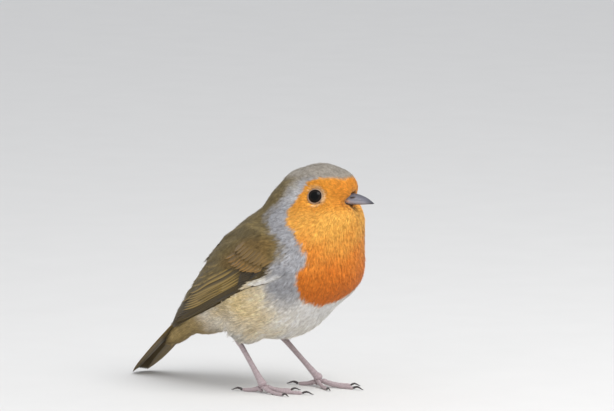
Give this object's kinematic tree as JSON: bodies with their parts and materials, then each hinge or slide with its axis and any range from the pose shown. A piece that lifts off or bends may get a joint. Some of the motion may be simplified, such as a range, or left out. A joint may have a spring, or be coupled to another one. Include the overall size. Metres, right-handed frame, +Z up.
{
  "type": "standing robin",
  "caption": "Small round-bodied songbird with a rust-orange face and breast, standing still with its tail tip on the floor.",
  "frame": {"origin": "on the floor, under the middle of the bird's bounding box", "axes": "+X the way the body heads, tail to bill; +Y to the bird's left; +Z up"},
  "size_m": [0.118, 0.0536, 0.091],
  "materials": {
    "orange_face": "soft short feathers, rust orange",
    "grey_brown": "soft feathers, grey-brown",
    "orange_breast": "soft loose feathers, rust orange",
    "olive_back": "soft feathers, warm olive-brown",
    "pale_belly": "soft loose feathers, off-white to buff",
    "wing_brown": "firm overlapping feathers, brown with pale edges",
    "tail_brown": "firm overlapping feathers, brown",
    "eye_black": "wet gloss, black-brown",
    "bill_grey": "satin horn, dark grey",
    "leg_pink": "dull scaly skin, pinkish grey-brown",
    "claw_dark": "satin horn, dark brown"
  },
  "bodies": {
    "root": {"bill_lower": "bill_grey", "bill_upper": "bill_grey", "breast": "orange_breast", "claw_hallux_left": "claw_dark", "claw_hallux_right": "claw_dark", "claw_inner_left": "claw_dark", "claw_inner_right": "claw_dark", "claw_middle_left": "claw_dark", "claw_middle_right": "claw_dark", "claw_outer_left": "claw_dark", "claw_outer_right": "claw_dark", "eye_left": "eye_black", "eye_right": "eye_black", "flight_feathers_left": "wing_brown", "flight_feathers_right": "wing_brown", "head": "orange_face", "neck": "grey_brown", "rump": "pale_belly", "tail": "tail_brown", "tarsus_left": "leg_pink", "tarsus_right": "leg_pink", "thigh_left": "pale_belly", "thigh_right": "pale_belly", "toe_hallux_left": "leg_pink", "toe_hallux_right": "leg_pink", "toe_inner_left": "leg_pink", "toe_inner_right": "leg_pink", "toe_middle_left": "leg_pink", "toe_middle_right": "leg_pink", "toe_outer_left": "leg_pink", "toe_outer_right": "leg_pink", "trunk": "olive_back", "wing_left": "wing_brown", "wing_right": "wing_brown"}
  },
  "joints": []
}
